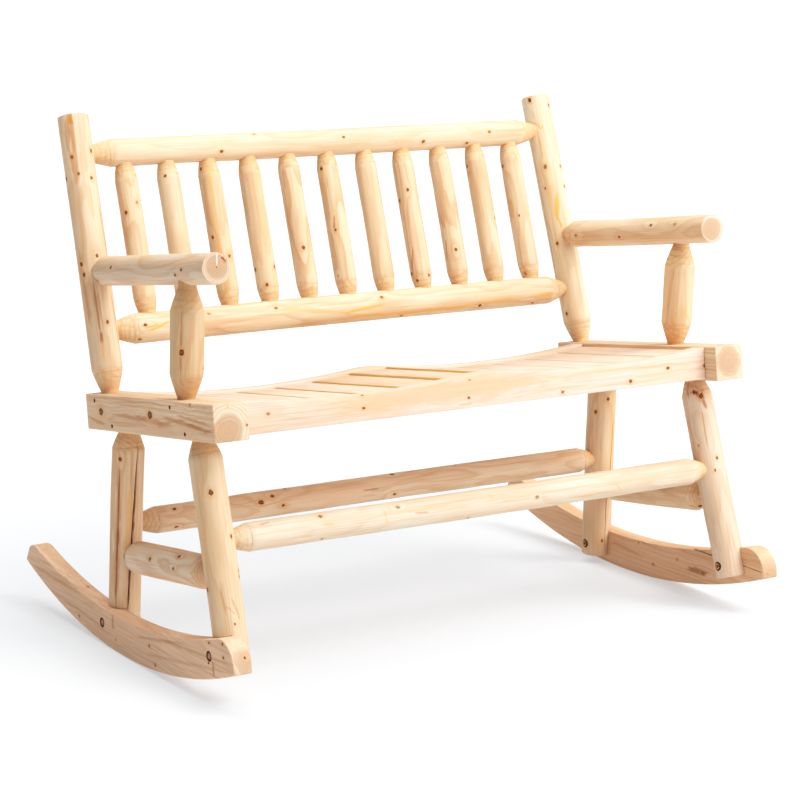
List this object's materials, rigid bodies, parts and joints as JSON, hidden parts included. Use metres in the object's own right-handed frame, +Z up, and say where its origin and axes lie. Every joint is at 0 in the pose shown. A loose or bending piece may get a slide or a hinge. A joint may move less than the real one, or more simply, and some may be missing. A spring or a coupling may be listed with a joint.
{
  "type": "log rocking bench",
  "caption": "Two-seat log rocking bench with a slatted back, round log arms, a seat in two shallow hollows, and two sawn rockers.",
  "frame": {"origin": "on the floor under the middle of the bounding box, with the bench at rest on its rockers", "axes": "+X along the bench, to the right as seen from the front, +Y towards the back of the bench, +Z up; the bench faces -Y, and left and right in the names are as seen from the front"},
  "size_m": [1.256, 0.93, 1.0288],
  "materials": {
    "log": "peeled and turned softwood logs, unfinished, with knots, drying cracks and sawn ends",
    "plank": "planed softwood beams, rails and rockers, unfinished, with long grain and knots",
    "slat": "planed softwood slats, unfinished, with eased edges",
    "steel": "yellow-zinc plated steel bolts and flange nuts"
  },
  "bodies": {
    "root": {"left_rocker": "plank", "left_end_beam": "plank", "left_side_stretcher": "log", "left_back_post": "log", "left_arm": "log", "left_arm_post": "log", "left_front_leg": "log", "left_front_bolt": "steel", "left_front_nut": "steel", "left_rear_leg": "log", "left_rear_bolt": "steel", "left_rear_nut": "steel", "right_rocker": "plank", "right_end_beam": "plank", "right_side_stretcher": "log", "right_back_post": "log", "right_arm": "log", "right_arm_post": "log", "right_front_leg": "log", "right_front_bolt": "steel", "right_front_nut": "steel", "right_rear_leg": "log", "right_rear_bolt": "steel", "right_rear_nut": "steel", "front_stretcher": "log", "rear_stretcher": "log", "front_seat_rail": "plank", "rear_seat_rail": "plank", "front_ledger": "plank", "rear_ledger": "plank", "seat_slat_1": "slat", "seat_slat_2": "slat", "seat_slat_3": "slat", "seat_slat_4": "slat", "seat_slat_5": "slat", "seat_slat_6": "slat", "seat_slat_7": "slat", "seat_slat_8": "slat", "seat_slat_9": "slat", "seat_slat_10": "slat", "seat_slat_11": "slat", "seat_slat_12": "slat", "seat_slat_13": "slat", "top_back_rail": "log", "bottom_back_rail": "log", "back_spindle_1": "log", "back_spindle_2": "log", "back_spindle_3": "log", "back_spindle_4": "log", "back_spindle_5": "log", "back_spindle_6": "log", "back_spindle_7": "log", "back_spindle_8": "log", "back_spindle_9": "log", "back_spindle_10": "log", "back_spindle_11": "log"}
  },
  "joints": []
}
